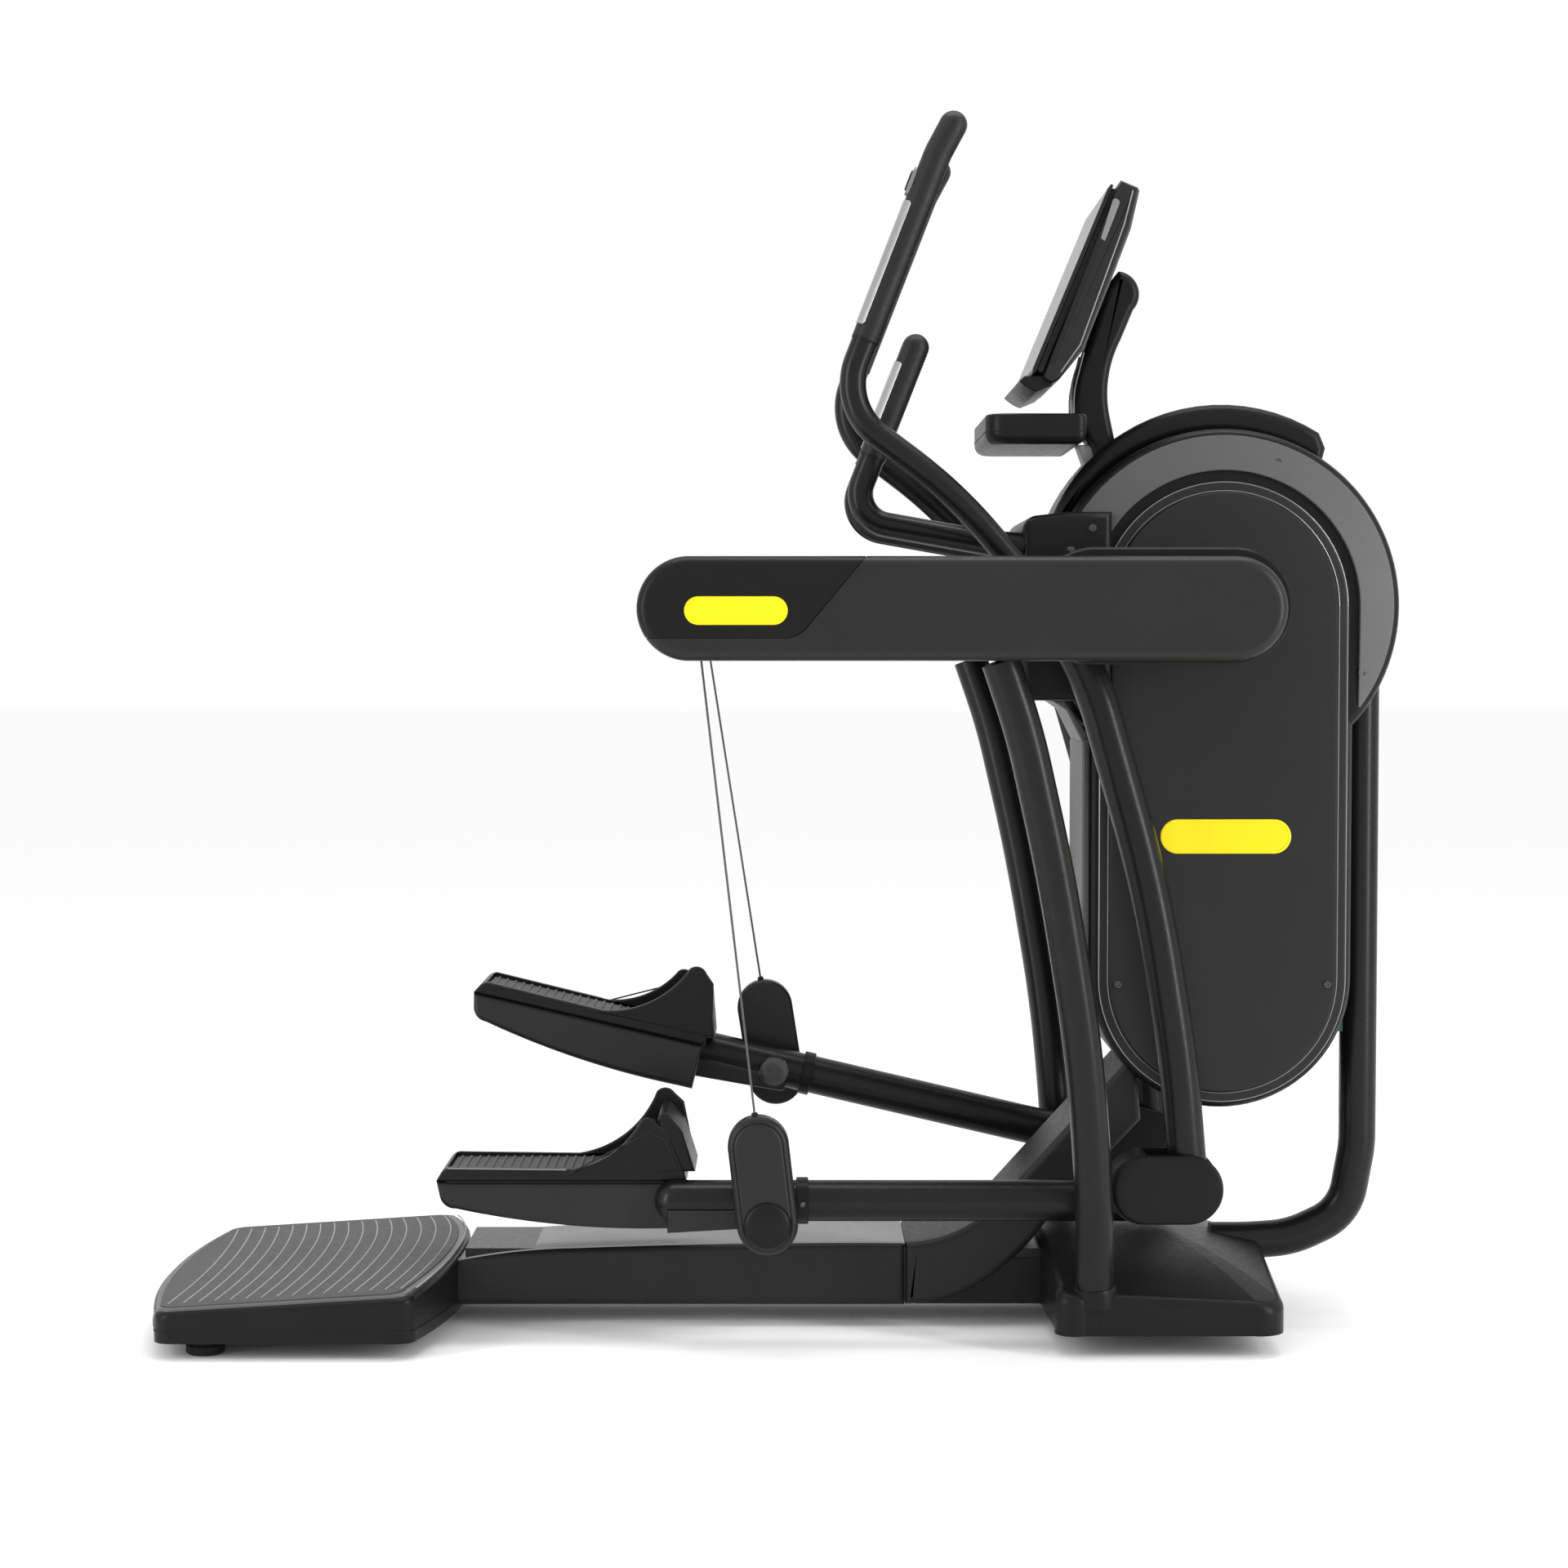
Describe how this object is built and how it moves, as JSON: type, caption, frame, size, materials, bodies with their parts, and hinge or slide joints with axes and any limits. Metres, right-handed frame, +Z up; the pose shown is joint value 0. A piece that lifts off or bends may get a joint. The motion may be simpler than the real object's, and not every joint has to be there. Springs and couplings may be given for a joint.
{
  "type": "elliptical trainer",
  "caption": "Suspended-pedal elliptical trainer with swinging levers, cable-hung pedal arms, flywheel housing, console and rear step.",
  "frame": {"origin": "on the floor, under the middle of the overall length and width", "axes": "+X is where the user faces, +Y the user's left, +Z up"},
  "size_m": [1.784, 0.8, 1.7215],
  "materials": {
    "frame_steel": "powder coat",
    "black_tube": "satin powder coat",
    "black_cover": "fine grain",
    "satin_cover": "satin",
    "grey_cover": "fine grain",
    "grey_trim": "satin",
    "screen_glass": "polished",
    "rubber": "ribbed",
    "grip_plastic": "soft grain",
    "sensor_steel": "brushed",
    "shaft_steel": "turned",
    "flywheel_iron": "machined",
    "pulley_alloy": "turned",
    "pulley_plastic": "moulded",
    "cable_steel": "stranded",
    "electric_plastic": "moulded",
    "pedal_plastic": "moulded"
  },
  "bodies": {
    "frame": {"accent_trims": "grey_trim", "base_cover": "black_cover", "beam_covers": "satin_cover", "beam_inners": "black_cover", "beam_rear_caps": "satin_cover", "brake_unit": "shaft_steel", "console_body": "satin_cover", "console_mast": "black_cover", "console_screen": "screen_glass", "control_board": "electric_plastic", "drive_belt": "rubber", "fixed_handlebars": "black_tube", "floor_frame": "frame_steel", "housing_rear_cover": "grey_trim", "housing_screws": "shaft_steel", "housing_shells": "black_cover", "housing_top_cap": "black_cover", "inner_frame": "frame_steel", "leg_tubes": "black_tube", "lever_shaft": "shaft_steel", "pivot_housing": "black_cover", "power_inlet": "electric_plastic", "pulse_sensors": "sensor_steel", "ramp_cover": "black_cover", "rubber_feet": "rubber", "shaft_bearings": "shaft_steel", "side_panels": "satin_cover", "spine_cover": "grey_cover", "step_base": "black_cover", "step_deck": "grey_cover", "tail_tube": "black_tube", "tray": "black_cover"},
    "lever_right": {"lever_tube_right": "black_tube", "lever_grip_right": "grip_plastic", "lever_sensor_right": "sensor_steel"},
    "switch_right": {"lever_switch_right": "grip_plastic"},
    "knuckle_right": {"lower_axle_right": "shaft_steel"},
    "arm_right": {"pedal_arm_right": "black_tube", "pedal_base_right": "pedal_plastic", "pedal_top_right": "pedal_plastic", "pedal_mat_right": "rubber"},
    "pin_right": {"link_pin_right": "shaft_steel"},
    "link_right": {"link_body_right": "pedal_plastic"},
    "suspension_right": {"cable_right": "cable_steel"},
    "pulley_right": {"cable_pulley_right": "pulley_plastic"},
    "lever_left": {"lever_tube_left": "black_tube", "lever_grip_left": "grip_plastic", "lever_sensor_left": "sensor_steel"},
    "switch_left": {"lever_switch_left": "grip_plastic"},
    "knuckle_left": {"lower_axle_left": "shaft_steel"},
    "arm_left": {"pedal_arm_left": "black_tube", "pedal_base_left": "pedal_plastic", "pedal_top_left": "pedal_plastic", "pedal_mat_left": "rubber"},
    "pin_left": {"link_pin_left": "shaft_steel"},
    "link_left": {"link_body_left": "pedal_plastic"},
    "suspension_left": {"cable_left": "cable_steel"},
    "pulley_left": {"cable_pulley_left": "pulley_plastic"},
    "flywheel": {"flywheel": "flywheel_iron"},
    "drive": {"drive_pulley": "pulley_alloy"}
  },
  "joints": [
    {"name": "lever_right", "type": "hinge", "parent": "frame", "child": "lever_right", "pos_m": [0.388, -0.209, 1.032], "axis": [0, 1, 0], "range_deg": [-12, 12]},
    {"name": "knuckle_right", "type": "hinge", "parent": "lever_right", "child": "knuckle_right", "pos_m": [0.577, -0.209, 0.225], "axis": [0, 1, 0], "range_deg": [-12, 12]},
    {"name": "arm_right", "type": "hinge", "parent": "knuckle_right", "child": "arm_right", "pos_m": [0.577, -0.205, 0.225], "axis": [0, 1, 0], "range_deg": [0, 13.13]},
    {"name": "link_pin_right", "type": "hinge", "parent": "arm_right", "child": "pin_right", "pos_m": [-0.012, -0.24, 0.199], "axis": [0, 1, 0], "range_deg": [-15.3, 0]},
    {"name": "link_swing_right", "type": "hinge", "parent": "pin_right", "child": "link_right", "pos_m": [-0.012, -0.2595, 0.199], "axis": [0, 1, 0], "range_deg": [-14.3, 14.3]},
    {"name": "suspension_slide_right", "type": "slide", "parent": "link_right", "child": "suspension_right", "axis": [-0.1159, 0, 0.9933], "range_m": [-0.1052, 0]},
    {"name": "cable_pulley_right", "type": "hinge", "parent": "frame", "child": "pulley_right", "pos_m": [-0.035, -0.259, 1.04], "axis": [0, 1, 0], "range_deg": [-190, 190]},
    {"name": "switch_press_right", "type": "slide", "parent": "lever_right", "child": "switch_right", "axis": [0.9316, 0, -0.3635], "range_m": [0, 0.0015], "stiffness_N_per_m": 600},
    {"name": "lever_left", "type": "hinge", "parent": "frame", "child": "lever_left", "pos_m": [0.388, 0.209, 1.032], "axis": [0, 1, 0], "range_deg": [-12, 12]},
    {"name": "knuckle_left", "type": "hinge", "parent": "lever_left", "child": "knuckle_left", "pos_m": [0.577, 0.209, 0.225], "axis": [0, 1, 0], "range_deg": [-12, 12]},
    {"name": "arm_left", "type": "hinge", "parent": "knuckle_left", "child": "arm_left", "pos_m": [0.577, 0.205, 0.225], "axis": [0, 1, 0], "range_deg": [-13.13, 0]},
    {"name": "link_pin_left", "type": "hinge", "parent": "arm_left", "child": "pin_left", "pos_m": [-0.00251, 0.24, 0.33348], "axis": [0, 1, 0], "range_deg": [0, 15.8]},
    {"name": "link_swing_left", "type": "hinge", "parent": "pin_left", "child": "link_left", "pos_m": [-0.00251, 0.2595, 0.33348], "axis": [0, 1, 0], "range_deg": [-14.3, 14.3]},
    {"name": "suspension_slide_left", "type": "slide", "parent": "link_left", "child": "suspension_left", "axis": [-0.1548, 0, 0.9879], "range_m": [0, 0.1052]},
    {"name": "cable_pulley_left", "type": "hinge", "parent": "frame", "child": "pulley_left", "pos_m": [-0.035, 0.259, 1.04], "axis": [0, 1, 0], "range_deg": [-190, 190]},
    {"name": "switch_press_left", "type": "slide", "parent": "lever_left", "child": "switch_left", "axis": [0.9316, 0, -0.3635], "range_m": [0, 0.0015], "stiffness_N_per_m": 600},
    {"name": "flywheel_spin", "type": "hinge", "parent": "frame", "child": "flywheel", "pos_m": [0.639, 0, 1.039], "axis": [0, 1, 0], "continuous": true},
    {"name": "drive_spin", "type": "hinge", "parent": "frame", "child": "drive", "pos_m": [0.639, 0, 0.64], "axis": [0, 1, 0], "continuous": true}
  ],
  "couplings": [
    {"joint": "lever_left", "follows": "lever_right", "ratio": -1},
    {"joint": "knuckle_right", "follows": "lever_right", "ratio": -1},
    {"joint": "knuckle_left", "follows": "lever_right", "ratio": 1},
    {"joint": "arm_left", "follows": "arm_right", "ratio": -1},
    {"joint": "link_pin_right", "follows": "arm_right", "ratio": -1.1515},
    {"joint": "link_pin_left", "follows": "arm_right", "ratio": 1.1911},
    {"joint": "link_swing_right", "follows": "lever_right", "ratio": 1.1783},
    {"joint": "link_swing_left", "follows": "lever_right", "ratio": -1.1783},
    {"joint": "suspension_slide_right", "follows": "arm_right", "m_per_rad": -0.4582},
    {"joint": "suspension_slide_left", "follows": "arm_right", "m_per_rad": 0.4582},
    {"joint": "cable_pulley_right", "follows": "arm_right", "ratio": 13.5},
    {"joint": "cable_pulley_left", "follows": "arm_right", "ratio": -13.5},
    {"joint": "drive_spin", "follows": "flywheel_spin", "ratio": 0.25}
  ]
}
